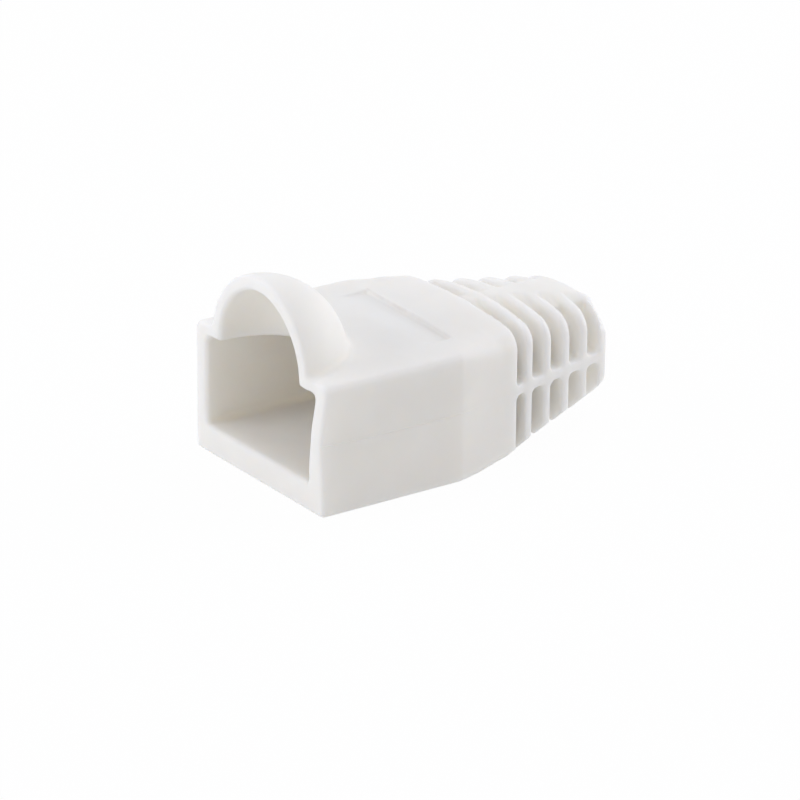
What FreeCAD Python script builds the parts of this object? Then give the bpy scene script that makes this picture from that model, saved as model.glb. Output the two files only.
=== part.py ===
import FreeCAD, Part
import math
import os
import re
import Sketcher

# Slip-on strain relief boot for an 8-position modular plug, moulded in one piece.
# Body frame while modelling: X across the width (mid-plane at X = 0), Y from the plug mouth
# towards the cable, Z up from the flat underside. All lengths are millimetres.
SIZES = {
    # plug end: straight rectangular body
    "body_width": 14.5,
    "body_height": 9.05,
    "body_length": 10.7,
    "long_edge_radius": 0.5,
    "low_edge_radius": 0.3,
    # tail: narrows from the body's section to a small octagon around the cable; its crowned top
    # rises a little as far as the shoulder, then falls
    "tail_length": 13.8,
    "tail_end_width": 8.2,
    "tail_end_height": 6.75,
    "shoulder_length": 4.8,
    "shoulder_height": 9.4,
    "shoulder_crown": 24.0,
    "shoulder_corner": 1.3,
    "shoulder_low_cut": 0.4,
    "rib_height": 8.6,
    "rib_crown": 11.0,
    "rib_corner": 1.8,
    "rib_low_cut": 1.4,
    "end_chamfer_width": 2.1,
    "end_chamfer_rise": 1.8,
    "end_flange": 0.75,
    # cable axis, which is also the mould's parting plane
    "axis_height": 4.72,
    "cable_diameter": 5.6,
    # plug socket and the funnel that leads the cable out of it
    "socket_width": 12.0,
    "socket_height": 6.25,
    "socket_depth": 10.0,
    "socket_corner_radius": 0.4,
    "floor_thickness": 1.95,
    "funnel_length": 4.5,
    "funnel_step": 0.3,
    # hood over the plug's latch: a quarter sphere behind a short level arch
    "hood_axis_height": 8.34,
    "hood_radius": 5.45,
    "hood_level": 0.35,
    "hood_wall": 1.0,
    "hood_foot_radius": 0.4,
    # thumb rest: a shallow wedge cut into the top behind the hood
    "rest_width": 9.4,
    "rest_start": 9.2,
    "rest_length": 2.4,
    "rest_depth": 0.25,
    # slots that make the tail flexible, and the webs that bridge them
    "slot_count": 5,
    "slot_gap": 1.15,
    "slot_pitch": 1.77,
    "slot_corner_radius": 0.35,
    "side_web": 0.72,
    "low_web": 1.8,
    "top_web": 5.0,
    "top_web_foot": 8.1,
    "top_web_height": 9.1,
    "top_web_crest": 0.8,
    # edge treatment
    "front_edge_radius": 0.25,
    "mouth_chamfer": 0.18,
    "rim_chamfer": 0.15,
}

# Sizes that follow from the ones above, kept as formulas in the same sheet.
DERIVED = {
    "half_width": "=body_width / 2",
    "overall_length": "=body_length + tail_length",
    "tail_end_top": "=axis_height + tail_end_height / 2",
    "tail_end_low": "=axis_height - tail_end_height / 2",
    "narrowing": "=(body_width - tail_end_width) / (2 * tail_length)",
    "rise": "=tail_end_low / tail_length",
    "low_cut_slope": "=end_chamfer_width / end_chamfer_rise",
    "flange_start": "=overall_length - end_flange",
    "shoulder_start": "=body_length + shoulder_length",
    "ceiling_height": "=floor_thickness + socket_height",
    "funnel_end": "=socket_depth + funnel_length",
    "slot_start": "=flange_start - slot_gap - (slot_count - 1) * slot_pitch",
    "end_wall": "=(min(tail_end_width; tail_end_height) - cable_diameter) / 2",
    "rim_bevel": "=min(rim_chamfer; end_wall / 3)",
}

CLEAR = 1.0     # how far a cutting profile runs past the material that it removes
TOLERANCE = 1e-4
SAMPLES = 5     # points looked at along an edge when edges are picked by place
QUARTER = math.pi / 2

doc = FreeCAD.newDocument("strain_relief_boot")


def make_sheet():
    """Put every size into one spreadsheet, a named cell each."""
    sheet = doc.addObject("Spreadsheet::Sheet", "Sizes")
    for row, (name, content) in enumerate({**SIZES, **DERIVED}.items(), start=1):
        sheet.set(f"A{row}", name)
        sheet.set(f"B{row}", str(content))
        sheet.setAlias(f"B{row}", name)
    doc.recompute()
    return sheet


sheet = make_sheet()
workings = doc.addObject("Spreadsheet::Sheet", "Workings")
body = doc.addObject("PartDesign::Body", "boot")
body.Label = "boot"


def sized(text):
    """Prefix every size name in an expression with the sheet, as other objects need."""
    return re.sub(r"[a-z]\w+", lambda word: f"Sizes.{word[0]}", text)


def value(text):
    """Current number behind an expression written in size names."""
    workings.set("A1", f"={sized(text)}")
    workings.recompute()
    return float(workings.get("A1"))


def origin(role):
    """One of the body's own origin planes or axes."""
    return next(item for item in body.Origin.OriginFeatures if item.Role == role)


def sketch_on(plane, name, offset="0", lift="0"):
    """Sketch on an origin plane, moved along the plane's normal and along its second axis."""
    sketch = body.newObject("Sketcher::SketchObject", name)
    sketch.AttachmentSupport = [(origin(plane), "")]
    sketch.MapMode = "FlatFace"
    sketch.setExpression("AttachmentOffset.Base.z", sized(offset))
    sketch.setExpression("AttachmentOffset.Base.y", sized(lift))
    doc.recompute()
    return sketch


def drive(sketch, name, text, kind, *where):
    """Add one dimension to a sketch and bind it to an expression in size names."""
    index = sketch.addConstraint(Sketcher.Constraint(kind, *where, value(text)))
    sketch.renameConstraint(index, name)
    sketch.setExpression(f"Constraints.{name}", sized(text))


def place(sketch, name, vertex, across, up):
    """Hold a sketch point at two driven distances from the sketch's origin."""
    drive(sketch, f"{name}_across", across, "DistanceX", -1, 1, *vertex)
    drive(sketch, f"{name}_up", up, "DistanceY", -1, 1, *vertex)


def polygon(sketch, corners):
    """Closed outline of straight lines through corners given as pairs of expressions."""
    points = [FreeCAD.Vector(value(across), value(up), 0) for across, up in corners]
    for start, end in zip(points, points[1:] + points[:1]):
        sketch.addGeometry(Part.LineSegment(start, end), False)
    count = len(corners)
    for line in range(count):
        sketch.addConstraint(Sketcher.Constraint("Coincident", line, 2, (line + 1) % count, 1))
    for line, (across, up) in enumerate(corners):
        place(sketch, f"corner{line}", (line, 1), across, up)


def join(sketch, ends, kind="Tangent"):
    """Join the end of one curve to the start of the next, for each pair of curve numbers."""
    for before, after in ends:
        sketch.addConstraint(Sketcher.Constraint(kind, before, 2, after, 1))


def add_line(sketch, start, end):
    sketch.addGeometry(Part.LineSegment(FreeCAD.Vector(*start, 0), FreeCAD.Vector(*end, 0)), False)


def add_arc(sketch, centre, radius, first_angle, last_angle):
    circle = Part.Circle(FreeCAD.Vector(*centre, 0), FreeCAD.Vector(0, 0, 1), radius)
    sketch.addGeometry(Part.ArcOfCircle(circle, first_angle, last_angle), False)


def section(sketch, half_width, low, high, corner, low_corner=None, low_cut=None, crown=None):
    """Outline symmetric about the mid-plane, of eight curves that start with the bottom line.

    The low corners are arcs of their own radius, or else of the high corners' radius, or they
    are straight cuts given as a width and a rise. The top is a level line, or an arch with a
    crown radius.
    """
    low_corner = low_corner or corner
    wide, base, top, brow = (value(text) for text in (half_width, low, high, corner))
    cut_width, cut_rise = (value(text) for text in low_cut or (low_corner, low_corner))
    brow_height = top - brow
    lean = 0.0
    if crown:
        arch = value(crown)
        lean = math.asin((wide - brow) / (arch - brow))
        brow_height = top - arch + (arch - brow) * math.cos(lean)
    add_line(sketch, (-wide + cut_width, base), (wide - cut_width, base))
    if low_cut:
        add_line(sketch, (wide - cut_width, base), (wide, base + cut_rise))
    else:
        add_arc(sketch, (wide - cut_width, base + cut_width), cut_width, -QUARTER, 0)
    add_line(sketch, (wide, base + cut_rise), (wide, brow_height))
    add_arc(sketch, (wide - brow, brow_height), brow, 0, QUARTER - lean)
    if crown:
        add_arc(sketch, (0, top - arch), arch, QUARTER - lean, QUARTER + lean)
    else:
        add_line(sketch, (wide - brow, top), (-wide + brow, top))
    add_arc(sketch, (-wide + brow, brow_height), brow, QUARTER + lean, 2 * QUARTER)
    add_line(sketch, (-wide, brow_height), (-wide, base + cut_rise))
    if low_cut:
        add_line(sketch, (-wide, base + cut_rise), (-wide + cut_width, base))
    else:
        add_arc(sketch, (-wide + cut_width, base + cut_width), cut_width, 2 * QUARTER, 3 * QUARTER)
    bottom, low_right, right, high_right, lid, high_left, left, low_left = range(8)

    join(sketch, [(right, high_right), (high_right, lid), (lid, high_left), (high_left, left)])
    low_joints = [(left, low_left), (low_left, bottom), (bottom, low_right), (low_right, right)]
    join(sketch, low_joints, "Coincident" if low_cut else "Tangent")
    sketch.addConstraint(Sketcher.Constraint("Horizontal", bottom))
    sketch.addConstraint(Sketcher.Constraint("Vertical", right))
    sketch.addConstraint(Sketcher.Constraint("Vertical", left))
    sketch.addConstraint(Sketcher.Constraint("Equal", high_right, high_left))
    drive(sketch, "corner", corner, "Radius", high_right)
    drive(sketch, "low", low, "DistanceY", -1, 1, bottom, 1)
    drive(sketch, "right", half_width, "DistanceX", -1, 1, right, 1)
    drive(sketch, "left", half_width, "DistanceX", left, 1, -1, 1)
    if low_cut:
        width, rise = low_cut
        drive(sketch, "right_cut_width", width, "DistanceX", low_right, 1, low_right, 2)
        drive(sketch, "right_cut_rise", rise, "DistanceY", low_right, 1, low_right, 2)
        drive(sketch, "left_cut_width", width, "DistanceX", low_left, 1, low_left, 2)
        drive(sketch, "left_cut_rise", rise, "DistanceY", low_left, 2, low_left, 1)
    else:
        sketch.addConstraint(Sketcher.Constraint("Equal", low_right, low_left))
        drive(sketch, "low_corner", low_corner, "Radius", low_right)
    if crown:
        drive(sketch, "crown", crown, "Radius", lid)
        drive(sketch, "high", f"{high} - {crown}", "DistanceY", -1, 1, lid, 3)
    else:
        sketch.addConstraint(Sketcher.Constraint("Horizontal", lid))
        drive(sketch, "high", high, "DistanceY", -1, 1, lid, 1)


def feature(kind, name, **settings):
    """PartDesign feature; text given for a size is bound as an expression."""
    item = body.newObject(f"PartDesign::{kind}", name)
    for key, setting in settings.items():
        if key in ("Length", "Radius", "Size", "Occurrences", "Offset"):
            item.setExpression(key, sized(setting))
        else:
            setattr(item, key, setting)
    doc.recompute()
    return item


def edges_where(shape, test):
    """Names of a shape's edges whose sample points all pass a test."""
    names = []
    for number, edge in enumerate(shape.Edges, start=1):
        first, last = edge.ParameterRange
        stride = (last - first) / (SAMPLES - 1)
        if all(test(edge.valueAt(first + step * stride)) for step in range(SAMPLES)):
            names.append(f"Edge{number}")
    return names


def wire_names(shape, wire):
    """Names within a shape of the edges that make up one of its wires."""
    return [
        f"Edge{number}"
        for number, edge in enumerate(shape.Edges, start=1)
        if any(edge.isSame(other) for other in wire.Edges)
    ]


def near(one, other):
    return abs(one - other) < TOLERANCE


def make_plug_body():
    """Straight block around the plug, then the tail that tapers down to the cable."""
    block = ("half_width", "0", "body_height", "long_edge_radius", "low_edge_radius")
    profile = sketch_on("XZ_Plane", "body_section", f"{CLEAR}")
    section(profile, *block)
    feature("Pad", "plug_block", Profile=profile, Length=f"body_length + {CLEAR}", Reversed=True)

    start = sketch_on("XZ_Plane", "tail_start_section", "-body_length")
    section(start, *block)
    shoulder = sketch_on("XZ_Plane", "tail_shoulder_section", "-shoulder_start")
    section(
        shoulder,
        "half_width - narrowing * shoulder_length",
        "rise * shoulder_length",
        "shoulder_height",
        "shoulder_corner",
        low_cut=("shoulder_low_cut * low_cut_slope", "shoulder_low_cut"),
        crown="shoulder_crown",
    )
    rib = sketch_on("XZ_Plane", "tail_rib_section", "-flange_start")
    section(
        rib,
        "tail_end_width / 2 + narrowing * end_flange",
        "tail_end_low - rise * end_flange",
        "rib_height",
        "rib_corner",
        low_cut=("rib_low_cut * low_cut_slope", "rib_low_cut"),
        crown="rib_crown",
    )
    end = sketch_on("XZ_Plane", "tail_end_section", "-overall_length")
    flat = "(tail_end_width / 2 - end_chamfer_width)"
    side = "(tail_end_width / 2)"
    foot = "tail_end_low + end_chamfer_rise"
    brow = "tail_end_top - end_chamfer_rise"
    polygon(end, [
        (f"-{flat}", "tail_end_low"),
        (flat, "tail_end_low"),
        (side, foot),
        (side, brow),
        (flat, "tail_end_top"),
        (f"-{flat}", "tail_end_top"),
        (f"-{side}", brow),
        (f"-{side}", foot),
    ])
    feature("AdditiveLoft", "tail", Profile=start, Sections=[shoulder, rib, end], Ruled=True)


def hood_profile(name, radius):
    """Half section of the hood: level from in front of the mouth, then a quarter circle."""
    sketch = sketch_on("YZ_Plane", name, lift="hood_axis_height")
    reach = value(radius)
    level_end = value("hood_level")
    vector = FreeCAD.Vector
    crest = vector(level_end, reach, 0)
    heel = vector(level_end + reach, 0, 0)
    middle = vector(level_end, 0, 0) + vector(1, 1, 0).normalize() * reach
    corners = [crest, vector(-CLEAR, reach, 0), vector(-CLEAR, 0, 0), heel]
    sketch.addGeometry(Part.Arc(heel, middle, crest), False)
    for start, end in zip(corners, corners[1:]):
        sketch.addGeometry(Part.LineSegment(start, end), False)
    arc, level, front, axis = range(4)
    sketch.addConstraint(Sketcher.Constraint("Tangent", arc, 2, level, 1))
    sketch.addConstraint(Sketcher.Constraint("Coincident", level, 2, front, 1))
    sketch.addConstraint(Sketcher.Constraint("Coincident", front, 2, axis, 1))
    sketch.addConstraint(Sketcher.Constraint("Coincident", axis, 2, arc, 1))
    sketch.addConstraint(Sketcher.Constraint("Horizontal", level))
    sketch.addConstraint(Sketcher.Constraint("Vertical", front))
    sketch.addConstraint(Sketcher.Constraint("PointOnObject", arc, 3, -1))
    sketch.addConstraint(Sketcher.Constraint("PointOnObject", axis, 2, -1))
    place(sketch, "front", (axis, 1), f"-{CLEAR}", "0")
    drive(sketch, "level_end", "hood_level", "DistanceX", -1, 1, arc, 3)
    drive(sketch, "reach", radius, "Radius", arc)
    return sketch


def make_hood():
    """Dome over the latch, open at the mouth and blended into the top of the block."""
    outer = hood_profile("hood_outer_profile", "hood_radius")
    dome = feature("Revolution", "hood", Profile=outer, ReferenceAxis=(outer, ["H_Axis"]), Angle=360.0)
    height = value("body_height")
    rim = value("half_width - long_edge_radius") - TOLERANCE
    rear = value("body_length") - TOLERANCE
    foot = edges_where(dome.Shape, lambda p: near(p.z, height) and abs(p.x) < rim and p.y < rear)
    feature("Fillet", "hood_foot", Base=(dome, foot), Radius="hood_foot_radius")

    face = sketch_on("XZ_Plane", "mouth_plane")
    wide = f"(half_width + {CLEAR})"
    tall = f"hood_axis_height + hood_radius + {CLEAR}"
    polygon(face, [(f"-{wide}", f"-{CLEAR}"), (wide, f"-{CLEAR}"), (wide, tall), (f"-{wide}", tall)])
    feature("Pocket", "mouth_cut", Profile=face, Length=f"2 * {CLEAR}", Reversed=True)


def make_socket():
    """Rectangular socket for the plug, the funnel behind it and the hole for the cable."""
    mouth = sketch_on("XZ_Plane", "socket_section")
    outline = ("socket_width / 2", "floor_thickness", "ceiling_height", "socket_corner_radius")
    section(mouth, *outline)
    feature("Pocket", "socket", Profile=mouth, Length="socket_depth")

    wide = sketch_on("XZ_Plane", "funnel_wide_section", "-socket_depth")
    section(wide, *outline)
    narrow = sketch_on("XZ_Plane", "funnel_narrow_section", "-funnel_end")
    radius = "cable_diameter / 2"
    half = f"({radius} + funnel_step)"
    section(narrow, half, f"axis_height - {half}", f"axis_height + {half}", "socket_corner_radius")
    feature("SubtractiveLoft", "funnel", Profile=wide, Sections=[narrow], Ruled=True)

    hole = sketch_on("XZ_Plane", "cable_section", "-funnel_end")
    centre = FreeCAD.Vector(0, value("axis_height"), 0)
    hole.addGeometry(Part.Circle(centre, FreeCAD.Vector(0, 0, 1), value(radius)))
    drive(hole, "radius", radius, "Radius", 0)
    place(hole, "centre", (0, 3), "0", "axis_height")
    feature("Pocket", "cable_hole", Profile=hole, Type="ThroughAll")


def hollow_hood():
    """Latch space under the hood, the same dome one wall smaller, open into the socket."""
    inner = hood_profile("hood_inner_profile", "hood_radius - hood_wall")
    feature(
        "Groove", "latch_space", Profile=inner, ReferenceAxis=(inner, ["H_Axis"]), Angle=360.0
    )


def make_thumb_rest():
    """Wedge cut into the top behind the hood, deepest at its rear step."""
    wedge = sketch_on("YZ_Plane", "rest_profile")
    rear = "rest_start + rest_length"
    polygon(wedge, [
        ("rest_start", "body_height"),
        (rear, "body_height - rest_depth"),
        (rear, f"body_height + {CLEAR}"),
        ("rest_start", f"body_height + {CLEAR}"),
    ])
    feature("Pocket", "thumb_rest", Profile=wedge, Length="rest_width", SideType="Symmetric")


def slot_profile(sketch, web_edge, outer_edge, upward):
    """One slot seen from the side: open past the outer face, with round corners at the side web."""
    ends = ["slot_start", "slot_start + slot_gap"]
    entry, leave = ends if upward else reversed(ends)
    inner, outer, bend = value(web_edge), value(outer_edge), value("slot_corner_radius")
    step = bend if upward else -bend
    turn = 2 * QUARTER if upward else 0
    entered, left = value(entry), value(leave)
    add_line(sketch, (entered, outer), (entered, inner + step))
    add_arc(sketch, (entered + step, inner + step), bend, turn, turn + QUARTER)
    add_line(sketch, (entered + step, inner), (left - step, inner))
    add_arc(sketch, (left - step, inner + step), bend, turn + QUARTER, turn + 2 * QUARTER)
    add_line(sketch, (left, inner + step), (left, outer))
    add_line(sketch, (left, outer), (entered, outer))
    wall_in, bend_in, web, bend_out, wall_out, lid = range(6)
    join(sketch, [(wall_in, bend_in), (bend_in, web), (web, bend_out), (bend_out, wall_out)])
    join(sketch, [(wall_out, lid), (lid, wall_in)], "Coincident")
    for kind, curves in (("Vertical", (wall_in, wall_out)), ("Horizontal", (web, lid))):
        for curve in curves:
            sketch.addConstraint(Sketcher.Constraint(kind, curve))
    sketch.addConstraint(Sketcher.Constraint("Equal", bend_in, bend_out))
    drive(sketch, "radius", "slot_corner_radius", "Radius", bend_in)
    drive(sketch, "entry", entry, "DistanceX", -1, 1, wall_in, 1)
    drive(sketch, "leave", leave, "DistanceX", -1, 1, wall_out, 2)
    drive(sketch, "web", web_edge, "DistanceY", -1, 1, web, 1)
    drive(sketch, "outer", outer_edge, "DistanceY", -1, 1, lid, 1)


def make_slots():
    """Slots through the tail wall, bridged by a web at each side, at the bottom and at the top."""
    cuts = []
    for side, sign, turned in (("right", "", True), ("left", "-", False)):
        upper = sketch_on("YZ_Plane", f"slot_upper_{side}_profile", f"{sign}top_web / 2")
        slot_profile(upper, "axis_height + side_web / 2", f"shoulder_height + {CLEAR}", True)
        lower = sketch_on("YZ_Plane", f"slot_lower_{side}_profile", f"{sign}low_web / 2")
        slot_profile(lower, "axis_height - side_web / 2", f"-{CLEAR}", False)
        for half, profile in (("upper", upper), ("lower", lower)):
            name = f"slot_{half}_{side}"
            cuts.append(feature("Pocket", name, Profile=profile, Length="half_width", Reversed=turned))
    roof = sketch_on("XZ_Plane", "top_web_profile", "-slot_start")
    polygon(roof, [
        ("-top_web / 2", "top_web_foot"),
        ("-top_web_crest / 2", "top_web_height"),
        ("top_web_crest / 2", "top_web_height"),
        ("top_web / 2", "top_web_foot"),
        ("top_web / 2", f"shoulder_height + {CLEAR}"),
        ("-top_web / 2", f"shoulder_height + {CLEAR}"),
    ])
    cuts.append(feature("Pocket", "top_web_roof", Profile=roof, Length="slot_gap"))
    pattern = feature(
        "LinearPattern", "slots", Originals=cuts, Direction=(origin("Y_Axis"), [""]), Mode="Spacing",
        Occurrences="slot_count", Offset="slot_pitch",
    )
    body.Tip = pattern
    doc.recompute()


def front_face(shape):
    """The face in the plane of the mouth."""
    return next(face for face in shape.Faces if near(face.BoundBox.YMax, 0) and near(face.BoundBox.YMin, 0))


def soften_edges():
    """Round the front outline, and chamfer the mouth and the cable end."""
    shape = body.Tip.Shape
    outline = wire_names(shape, front_face(shape).OuterWire)
    rounded = feature("Fillet", "front_outline", Base=(body.Tip, outline), Radius="front_edge_radius")

    shape = rounded.Shape
    front = front_face(shape)
    inner = next(wire for wire in front.Wires if not wire.isSame(front.OuterWire))
    mouth = feature("Chamfer", "mouth_edge", Base=(rounded, wire_names(shape, inner)), Size="mouth_chamfer")

    rear = value("overall_length")
    rim = edges_where(mouth.Shape, lambda p: near(p.y, rear))
    feature("Chamfer", "rear_rim", Base=(mouth, rim), Size="rim_bevel")


def check(item, before, grows):
    """A feature that adds must add volume, and one that cuts must remove it."""
    after = item.Shape.Volume
    if (after > before) != grows or near(after, before):
        raise RuntimeError(f"{item.Label} did not change the solid as it should")
    return after


make_plug_body()
make_hood()
make_socket()
hollow_hood()
make_thumb_rest()
make_slots()
soften_edges()

# The frame of the finished part: origin at the middle of the underside, under the overall box.
body.setExpression("Placement.Base.y", sized("-overall_length / 2"))
doc.removeObject(workings.Name)
doc.recompute()

volume = 0.0
for item in body.Group:
    if item.isDerivedFrom("PartDesign::Feature") and not item.isDerivedFrom("PartDesign::Transformed"):
        kind = item.TypeId.split("::")[1]
        additive = kind in ("Pad", "AdditiveLoft", "Revolution") or item.Label == "hood_foot"
        volume = check(item, volume, additive)
for item in doc.Objects:
    if {"Invalid", "Error"} & set(item.State):
        raise RuntimeError(f"{item.Label} failed: {item.State}")
if body.Shape.isNull() or not body.Shape.isValid() or len(body.Shape.Solids) != 1:
    raise RuntimeError("boot is not one valid solid")

os.makedirs("parts", exist_ok=True)
body.Shape.exportStep("parts/boot.step")
box = body.Shape.optimalBoundingBox()
print(f"boot {box.XLength:.2f} x {box.YLength:.2f} x {box.ZLength:.2f} mm, {body.Shape.Volume:.1f} mm3")
print(f"centre of mass {body.Shape.Solids[0].CenterOfMass}")
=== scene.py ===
import math

import bmesh
import bpy
import numpy as np
from mathutils import Matrix, Vector


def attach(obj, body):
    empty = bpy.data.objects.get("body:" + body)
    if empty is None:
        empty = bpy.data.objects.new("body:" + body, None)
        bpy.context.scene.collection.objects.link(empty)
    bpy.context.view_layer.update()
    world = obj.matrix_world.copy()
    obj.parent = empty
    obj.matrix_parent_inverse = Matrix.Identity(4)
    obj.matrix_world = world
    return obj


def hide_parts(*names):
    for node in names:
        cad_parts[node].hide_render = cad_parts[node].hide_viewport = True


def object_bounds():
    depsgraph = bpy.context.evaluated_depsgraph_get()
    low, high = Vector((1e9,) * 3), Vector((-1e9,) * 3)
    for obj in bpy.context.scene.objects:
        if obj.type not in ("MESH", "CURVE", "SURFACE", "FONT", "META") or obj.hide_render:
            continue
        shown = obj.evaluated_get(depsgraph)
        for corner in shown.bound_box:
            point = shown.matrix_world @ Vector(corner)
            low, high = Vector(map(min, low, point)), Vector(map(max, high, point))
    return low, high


MM = 0.001

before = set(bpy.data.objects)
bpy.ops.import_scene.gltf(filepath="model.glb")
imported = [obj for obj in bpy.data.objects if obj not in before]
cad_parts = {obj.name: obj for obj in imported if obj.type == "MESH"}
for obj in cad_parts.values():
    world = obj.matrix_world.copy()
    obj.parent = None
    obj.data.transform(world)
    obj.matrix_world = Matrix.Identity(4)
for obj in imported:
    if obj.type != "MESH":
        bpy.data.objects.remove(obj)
cad_low, cad_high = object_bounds()
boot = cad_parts["boot"]


# ---------------------------------------------------------------- node helpers
class Tree:
    """Small helper to write a node tree as code."""

    def __init__(self, owner):
        owner.use_nodes = True
        self.nodes = owner.node_tree.nodes
        self.links = owner.node_tree.links
        self.nodes.clear()

    def set(self, socket, source):
        if isinstance(source, bpy.types.NodeSocket):
            self.links.new(source, socket)
        else:
            socket.default_value = source

    def add(self, kind, inputs=None, **settings):
        node = self.nodes.new(kind)
        for key, setting in settings.items():
            setattr(node, key, setting)
        for key, source in (inputs or {}).items():
            self.set(node.inputs[key], source)
        return node

    def math(self, operation, one, two=0.0):
        return self.add("ShaderNodeMath", {0: one, 1: two}, operation=operation).outputs[0]

    def ramp(self, factor, low, high, start=0.0, end=1.0):
        """Smoothly map factor from low..high to start..end."""
        node = self.add(
            "ShaderNodeMapRange",
            {"Value": factor, "From Min": low, "From Max": high, "To Min": start, "To Max": end},
            interpolation_type="SMOOTHSTEP",
        )
        return node.outputs["Result"]

    def noise(self, vector, scale, detail=3.0, roughness=0.5):
        node = self.add(
            "ShaderNodeTexNoise",
            {"Vector": vector, "Scale": scale, "Detail": detail, "Roughness": roughness},
        )
        return node.outputs["Fac"]

    def colour(self, factor, one, two):
        """Mix two colours by a factor."""
        node = self.add("ShaderNodeMix", {"Factor": factor}, data_type="RGBA")
        self.set(node.inputs[6], one)
        self.set(node.inputs[7], two)
        return node.outputs[2]

    def bump(self, height, strength, depth, below=None):
        """Relief of a depth in millimetres, over the normal of the relief below it."""
        inputs = {"Strength": strength, "Distance": depth * MM, "Height": height}
        if below:
            inputs["Normal"] = below
        return self.add("ShaderNodeBump", inputs).outputs[0]

    def finish(self, kind, shader):
        out = self.add(kind)
        self.links.new(shader.outputs[0], out.inputs["Surface"])


# ---------------------------------------------------------------- sizes of the moulded piece
# Millimetres in the part's own layout: Y from the mouth towards the cable, Z up from the underside.
HALF_WIDTH = round(cad_high[0] / MM, 3)
HALF_LENGTH = round(cad_high[1] / MM, 3)
BLOCK_LENGTH = 10.7
NARROWING = 0.228
AXIS_HEIGHT = 4.72
REST_END = 11.6
REST_START = REST_END - 2.6
REST_HALF_WIDTH = 4.7
SLOT_GAP = 1.15
SLOT_STARTS = [15.52 + 1.77 * number for number in range(5)]

VOXEL = 0.12
KEPT_SHARE = 0.56

# height and crown radius of the top over each slot that has a sloping floor beside the web
WEB_TOPS = ((9.28, 23.0), (9.05, 20.0), (8.87, 17.6), (8.75, 14.8))
WEB_EDGE = 2.2
FLOOR_OVERLAP = 0.12

# soft set of the moulding: how far each stretch of it lies off the drawn form
RIGHT_EDGE_DROP = 0.36
LEFT_EDGE_DROP = 0.26
LEFT_EDGE_RISES = ((0.15, 5.0, 9.0), (0.15, 10.4, 11.7), (0.12, 12.8, 13.6))
WEB_GROOVES = (0.24, 0.10)
WALL_BOW = 0.30
JAMB_FOOT_IN = 0.30
JAMB_TOP_BACK = 0.24
FIRST_SLOT_LESS = 0.22
CORNER_OUT = 0.28
CORNER_UP = 0.08

# low edges of the tail, as heights over the run from the end of the block
LOW_SET = 0.11
UNDERSIDE_RISE = 0.0975
SHOULDER_RUN = 4.8
SHOULDER_SIDE_HEIGHT = 0.868
SIDE_RISE = 0.181
SIDE_RISE_AFTER_SHOULDER = 0.219
FACET_SLOPE = 0.857


# ---------------------------------------------------------------- mesh helpers
def half_width(y):
    """Half the width of the part at a distance from the mouth."""
    return HALF_WIDTH - NARROWING * np.maximum(y - BLOCK_LENGTH, 0)


def step(value, low, high):
    """Smooth step from 0 at low to 1 at high."""
    share = np.clip((value - low) / (high - low), 0, 1)
    return share * share * (3 - 2 * share)


def fall(value, low, high):
    """Smooth step from 1 at low to 0 at high."""
    return step(-value, -high, -low)


def add_slot_floors(mesh):
    """Sloping floors of the front slots, on both sides of the web on top, as closed prisms."""
    work = bmesh.new()
    work.from_mesh(mesh)
    added = []
    for start, (crest, crown) in zip(SLOT_STARTS, WEB_TOPS):
        wide = half_width(start + SLOT_GAP / 2)
        depths = (
            (WEB_EDGE, 1.00),
            (wide - 2.2, 0.85),
            (wide - 1.5, 1.35),
            (wide - 1.7, 1.90),
            (WEB_EDGE, 2.40),
        )
        outline = [(x, crest - x * x / (2 * crown) - depth) for x, depth in depths]
        for side in (1, -1):
            rings = [
                [work.verts.new((side * x, y - HALF_LENGTH, z)) for x, z in outline]
                for y in (start - FLOOR_OVERLAP, start + SLOT_GAP + FLOOR_OVERLAP)
            ]
            added += [work.faces.new(ring) for ring in rings]
            for corner in range(len(outline)):
                after = (corner + 1) % len(outline)
                around = (rings[0][corner], rings[0][after], rings[1][after], rings[1][corner])
                added.append(work.faces.new(around))
    bmesh.ops.recalc_face_normals(work, faces=added)
    work.to_mesh(mesh)
    work.free()


def apply_modifiers(piece):
    """Turn a piece's modifiers into its mesh."""
    evaluated = piece.evaluated_get(bpy.context.evaluated_depsgraph_get())
    mesh = bpy.data.meshes.new_from_object(evaluated)
    piece.modifiers.clear()
    piece.data = mesh


def fine_piece(source):
    """Copy of a closed piece as one even, fine mesh in millimetres."""
    mesh = source.data.copy()
    mesh.transform(source.matrix_world)
    mesh.transform(Matrix.Scale(1 / MM, 4))
    add_slot_floors(mesh)
    piece = bpy.data.objects.new("boot_skin", mesh)
    bpy.context.scene.collection.objects.link(piece)
    remesh = piece.modifiers.new("even", "REMESH")
    remesh.mode = "VOXEL"
    remesh.voxel_size = VOXEL
    apply_modifiers(piece)
    return piece


def neighbour_sums(points, edges):
    """Sum of the neighbours of each point."""
    one, two = edges.T
    return np.stack([
        np.bincount(one, along[two], len(points)) + np.bincount(two, along[one], len(points))
        for along in points.T
    ], axis=1)


def smoothed(points, edges, weight, rounds):
    """Draw each point towards the mean of its neighbours, by its weight."""
    count = np.bincount(edges.ravel(), minlength=len(points))[:, None]
    for _ in range(rounds):
        mean = neighbour_sums(points, edges) / count
        points = points + 0.5 * weight[:, None] * (mean - points)
    return points


def rib_edges(points):
    """Weight of 1 at the outer edge of each rib that faces the mouth, less at the end flange."""
    x, y, z = points.T
    y = y + HALF_LENGTH
    across = np.abs(x) / half_width(y)
    up = (z - AXIS_HEIGHT) / 4.1
    outer = step(np.maximum(across, up), 0.72, 0.86) * step(z, 2.0, 3.2)
    near = np.zeros(len(y))
    for start in SLOT_STARTS:
        front = start + SLOT_GAP
        share = 0.15 if start == SLOT_STARTS[-1] else 1.0
        band = step(y, front - 0.25, front - 0.05) * fall(y, front + 0.2, front + 0.42)
        near = np.maximum(near, share * band)
    return near * outer


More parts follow.
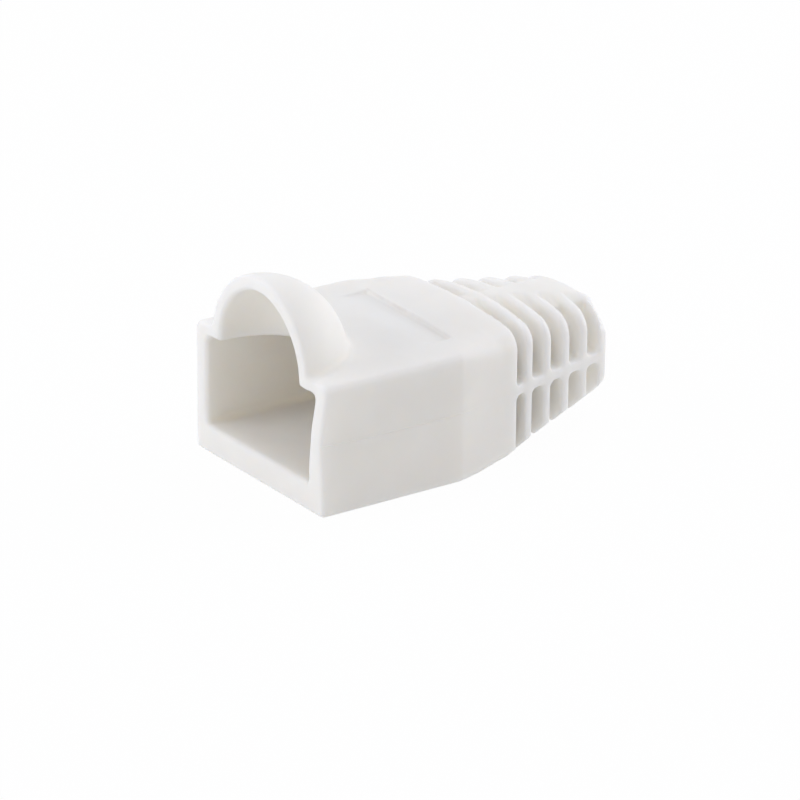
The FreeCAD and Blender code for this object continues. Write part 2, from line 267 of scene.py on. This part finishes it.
# ---------------------------------------------------------------- soft set of the moulding
def sagged(x, y, z):
    """Height with the long top edges out of level: the mouth droops, the left edge rises behind."""
    edge = np.clip(np.abs(x) / half_width(y), 0, 1) ** 1.6
    high = step(z, 3.0, 8.0)
    right = RIGHT_EDGE_DROP * fall(y, 14.0, 16.5)
    rise = sum(amount * step(y, start, end) for amount, start, end in LEFT_EDGE_RISES)
    left = LEFT_EDGE_DROP * fall(y, 0.5, 7.0) - rise * fall(y, 15.6, 16.5)
    return z - high * edge * np.where(x > 0, right, left)


def grooved(x, y, z):
    """Height with the first slots run on, shallow, across the web on top."""
    web = fall(np.abs(x), WEB_EDGE, 3.4) * step(z, 8.2, 8.8)
    for start, depth in zip(SLOT_STARTS, WEB_GROOVES):
        z = z - depth * web * np.exp(-(((y - start - 0.22) / 0.17) ** 2))
    return z


def cut_low(x, y, z):
    """Height with the tail's low edges cut straight from the end of the block on."""
    run = np.maximum(y - BLOCK_LENGTH, 0)
    lower_set = LOW_SET * step(run, 0.4, 2.0)
    z = np.where(run > 0, np.maximum(z - lower_set * fall(run, 5.0, 8.0) * fall(z, 1.0, 3.0), 0), z)

    underside = UNDERSIDE_RISE * run
    side = np.where(
        run < SHOULDER_RUN,
        SIDE_RISE * run,
        SHOULDER_SIDE_HEIGHT + SIDE_RISE_AFTER_SHOULDER * (run - SHOULDER_RUN),
    ) - lower_set
    facet = side - FACET_SLOPE * (half_width(y) - np.abs(x))
    drawn = np.maximum(underside - lower_set, facet)
    level = np.maximum(np.minimum(underside, np.maximum(side - 1.0, 0)), facet)
    return z - np.maximum(drawn - level, 0) * fall(z - drawn, 0.0, 1.2) * (run > 0)


def bowed(x, y, z):
    """Right wall bowed in at the mouth, with its jamb set back at the top and drawn in at the foot."""
    bow = np.exp(-(((z - 4.4) / 2.4) ** 2)) * fall(y, 0.0, 6.0)
    x = x - WALL_BOW * bow * step(x, 3.0, 6.5)
    jamb = step(x, 5.1, 6.1) * fall(y, 0.0, 3.0)
    x = x - JAMB_FOOT_IN * jamb * fall(x, 6.3, 7.0) * fall(z, 2.5, 5.0) * step(z, 1.2, 2.0)
    y = y + JAMB_TOP_BACK * jamb * step(z, 5.0, 8.6)
    return x, y


def relaxed(points):
    """Points of the drawn form moved to where the soft moulding has set."""
    x, y, z = points.T
    y = y + HALF_LENGTH
    z = cut_low(x, y, grooved(x, y, sagged(x, y, z)))
    x, y = bowed(x, y, z)

    # first slot a little narrower on the right, from its front wall
    y = y + FIRST_SLOT_LESS * step(x, 2.0, 5.0) * step(y, 14.4, 15.45) * fall(y, 15.6, 16.5)

    # upper right corner of the end flange a little fuller
    corner = np.exp(-((x - 2.0) ** 2 + (z - 8.1) ** 2) / 0.55 ** 2) * step(y, 23.0, 23.8)
    x = x + CORNER_OUT * corner
    z = z + CORNER_UP * corner
    return np.stack([x, y - HALF_LENGTH, z], axis=1)


def make_skin(source):
    """The moulded piece as it is seen: soft edges, soft set, and no points that flat walls don't need."""
    piece = fine_piece(source)
    mesh = piece.data
    points = np.empty(len(mesh.vertices) * 3)
    mesh.vertices.foreach_get("co", points)
    points = points.reshape(-1, 3)
    edges = np.empty(len(mesh.edges) * 2, dtype=np.int32)
    mesh.edges.foreach_get("vertices", edges)
    edges = edges.reshape(-1, 2)
    points = smoothed(points, edges, np.ones(len(points)), 2)
    points = smoothed(points, edges, rib_edges(points), 16)
    mesh.vertices.foreach_set("co", relaxed(points).ravel())
    mesh.update()
    piece.modifiers.new("thin", "DECIMATE").ratio = KEPT_SHARE
    apply_modifiers(piece)
    piece.data.transform(Matrix.Scale(MM, 4))
    piece.data.shade_smooth()
    return piece


# ---------------------------------------------------------------- soft PVC
PVC_LIGHT = (0.892, 0.867, 0.816, 1)
PVC_DEEP = (0.874, 0.849, 0.800, 1)
PVC_SPECK = (0.905, 0.882, 0.840, 1)
# painted shade: tone of the dark line along the step of the thumb rest
STEP_SHADE_TINT = (0.62, 0.58, 0.53, 1)


def from_mouth(y):
    """Distance from the mouth in millimetres as a place in metres."""
    return (y - HALF_LENGTH) * MM


def thin_line(tree, distance, half, reach):
    """1 on a line and 0 off it, by the distance from its middle."""
    return tree.ramp(tree.math("ABSOLUTE", distance), half * MM, reach * MM, 1.0, 0.0)


def parting_line(tree, place, x, y, z):
    """Line of the mould on the outer sides, at the height of the cable axis, fainter on the tail."""
    normal = tree.add("ShaderNodeNewGeometry").outputs["True Normal"]
    sideways = tree.add("ShaderNodeSeparateXYZ", {0: normal}).outputs["X"]
    on_side = tree.ramp(tree.math("MULTIPLY", sideways, tree.math("SIGN", x)), 0.5, 0.8)
    waver = tree.math("SUBTRACT", tree.noise(place, 300.0, 1.0), 0.5)
    wavy = tree.math("ADD", z, tree.math("MULTIPLY", waver, 0.12 * MM))
    line = thin_line(tree, tree.math("SUBTRACT", wavy, (AXIS_HEIGHT + 0.03) * MM), 0.02, 0.09)
    fading = tree.ramp(y, from_mouth(BLOCK_LENGTH - 1.0), from_mouth(BLOCK_LENGTH + 2.0), 1.0, 0.2)
    return tree.math("MULTIPLY", tree.math("MULTIPLY", line, on_side), fading)


def painted_step_shade(tree, place, x, y, z):
    """Painted shade: a dark line along the rear step and left edge of the thumb rest recess, broken into
    patches.
    """
    on_top = tree.ramp(z, 8.0 * MM, 8.4 * MM)
    behind = thin_line(tree, tree.math("SUBTRACT", y, from_mouth(REST_END)), 0.03, 0.13)
    across = thin_line(tree, x, REST_HALF_WIDTH, REST_HALF_WIDTH + 0.1)
    beside = thin_line(tree, tree.math("ADD", x, REST_HALF_WIDTH * MM), 0.03, 0.13)
    along = tree.math(
        "MULTIPLY",
        tree.ramp(y, from_mouth(REST_START), from_mouth(REST_START + 0.8)),
        tree.ramp(y, from_mouth(REST_END), from_mouth(REST_END + 0.1), 1.0, 0.0),
    )
    edges = tree.math(
        "MAXIMUM", tree.math("MULTIPLY", behind, across), tree.math("MULTIPLY", beside, along)
    )
    patches = tree.ramp(tree.noise(place, 900.0, 1.0), 0.42, 0.62, 0.25, 1.0)
    return tree.math("MULTIPLY", tree.math("MULTIPLY", edges, patches), on_top)


def soft_pvc():
    """Off-white soft PVC, matte and a little translucent."""
    material = bpy.data.materials.new("soft_pvc")
    tree = Tree(material)
    place = tree.add("ShaderNodeTexCoord").outputs["Object"]
    axes = tree.add("ShaderNodeSeparateXYZ", {0: place}).outputs
    x, y, z = axes["X"], axes["Y"], axes["Z"]

    # slow clouding of the compound, a fine speckle, and painted shade: a dark line along the step of the
    # thumb rest
    cloud = tree.ramp(tree.noise(place, 260.0, 2.0), 0.35, 0.65)
    speckle = tree.ramp(tree.noise(place, 5200.0, 2.0, 0.6), 0.55, 0.80, 0.0, 0.25)
    colour = tree.colour(speckle, tree.colour(cloud, PVC_LIGHT, PVC_DEEP), PVC_SPECK)
    # painted shade at the thumb rest's step, mixed 30 % towards its dark tint
    step_shade = tree.math("MULTIPLY", painted_step_shade(tree, place, x, y, z), 0.30)
    colour = tree.colour(step_shade, colour, STEP_SHADE_TINT)

    # surface: long ripples from shrinkage, soft orange peel, and the parting line
    relief = tree.bump(tree.noise(place, 330.0, 2.0, 0.4), 0.35, 0.12)
    relief = tree.bump(tree.noise(place, 2100.0, 2.0, 0.55), 0.30, 0.012, relief)
    relief = tree.bump(parting_line(tree, place, x, y, z), 0.8, 0.03, relief)

    skin = tree.add(
        "ShaderNodeBsdfPrincipled",
        {
            "Base Color": colour,
            "Roughness": tree.ramp(tree.noise(place, 700.0, 3.0), 0.3, 0.7, 0.52, 0.62),
            "Normal": relief,
            "IOR": 1.50,
            "Specular IOR Level": 0.32,
            "Subsurface Weight": 0.90,
            "Subsurface Radius": (1.0, 0.90, 0.78),
            "Subsurface Scale": 1.6 * MM,
        },
    )
    tree.finish("ShaderNodeOutputMaterial", skin)
    return material


skin = make_skin(boot)
skin.data.materials.clear()
skin.data.materials.append(soft_pvc())
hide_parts("boot")
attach(skin, "root")


# ---------------------------------------------------------------- floor and backdrop
WHITE = (1, 1, 1, 1)
FLOOR_GREY = (0.94, 0.94, 0.94, 1)
FLOOR_GLOW = 0.32
FLOOR_GLOW_SEEN = 0.65
COOL_WHITE = (0.930, 0.940, 1.0)
FILL_STRENGTH = 0.40


def seen_directly(tree):
    """1 where the camera sees a surface by itself, in a gloss or through glass."""
    path = tree.add("ShaderNodeLightPath").outputs
    seen = tree.math("MAXIMUM", path["Is Camera Ray"], path["Is Glossy Ray"])
    return tree.math("MAXIMUM", seen, path["Is Transmission Ray"])


def mixed_shaders(tree, share, one, two):
    return tree.add("ShaderNodeMixShader", {0: share, 1: one.outputs[0], 2: two.outputs[0]})


def studio_floor():
    """White sweep that keeps a faint shadow of the object."""
    bpy.ops.mesh.primitive_plane_add(size=4.0, location=(0, 0, 0))
    floor = bpy.context.object
    floor.name = "floor"
    material = bpy.data.materials.new("white_sweep")
    tree = Tree(material)
    matte = tree.add("ShaderNodeBsdfDiffuse", {"Color": FLOOR_GREY})
    glow = tree.add("ShaderNodeEmission", {"Color": WHITE, "Strength": 1.0})
    share = tree.math("MULTIPLY", seen_directly(tree), FLOOR_GLOW_SEEN)
    share = tree.math("ADD", share, FLOOR_GLOW)
    tree.finish("ShaderNodeOutputMaterial", mixed_shaders(tree, share, matte, glow))
    floor.data.materials.append(material)


def studio_world():
    """Soft, slightly cool fill light, with a white backdrop where it is seen."""
    world = bpy.data.worlds.new("studio")
    bpy.context.scene.world = world
    tree = Tree(world)
    fill = tree.add("ShaderNodeBackground", {"Color": (*COOL_WHITE, 1), "Strength": FILL_STRENGTH})
    backdrop = tree.add("ShaderNodeBackground", {"Color": WHITE, "Strength": 1.0})
    tree.finish("ShaderNodeOutputWorld", mixed_shaders(tree, seen_directly(tree), fill, backdrop))


studio_floor()
studio_world()

# ---------------------------------------------------------------- lamps
AIM = Vector((0, 0, 0.005))


def softbox(name, place, size, watts):
    """Square area lamp at a place in metres, turned to the object."""
    lamp = bpy.data.lights.new(name, "AREA")
    lamp.shape = "SQUARE"
    lamp.size = size
    lamp.energy = watts
    lamp.color = COOL_WHITE
    holder = bpy.data.objects.new(name, lamp)
    bpy.context.scene.collection.objects.link(holder)
    holder.location = place
    holder.rotation_mode = "QUATERNION"
    holder.rotation_quaternion = (AIM - Vector(place)).to_track_quat("-Z", "Y")


softbox("softbox_top", (-0.04, 0.04, 0.30), 0.30, 0.395)
softbox("softbox_front", (-0.12, -0.28, 0.10), 0.24, 0.467)
softbox("softbox_rear", (0.08, 0.32, 0.10), 0.24, 0.50)

# ---------------------------------------------------------------- camera
AZIMUTH = math.radians(54.51)
ELEVATION = math.radians(21.61)
ROLL = math.radians(0.61)
DISTANCE = 0.300
TARGET = Vector((0.0, -0.00025, 0.005))
FOCAL_LENGTH = 209.97
FRAMING = (-0.01704, -0.03733)

back = Vector((
    math.sin(AZIMUTH) * math.cos(ELEVATION),
    -math.cos(AZIMUTH) * math.cos(ELEVATION),
    math.sin(ELEVATION),
))
level_right = Vector((math.cos(AZIMUTH), math.sin(AZIMUTH), 0))
level_up = back.cross(level_right)
right = level_right * math.cos(ROLL) + level_up * math.sin(ROLL)
up = level_up * math.cos(ROLL) - level_right * math.sin(ROLL)

lens = bpy.data.cameras.new("camera")
lens.sensor_width = 36.0
lens.lens = FOCAL_LENGTH
lens.shift_x, lens.shift_y = FRAMING
lens.clip_start = 0.01
lens.clip_end = 10.0
camera = bpy.data.objects.new("camera", lens)
bpy.context.scene.collection.objects.link(camera)
turn = Matrix((right, up, back)).transposed()
camera.matrix_world = Matrix.Translation(TARGET + back * DISTANCE) @ turn.to_4x4()
bpy.context.scene.camera = camera
bpy.context.scene.view_settings.view_transform = "Standard"

bpy.context.view_layer.update()
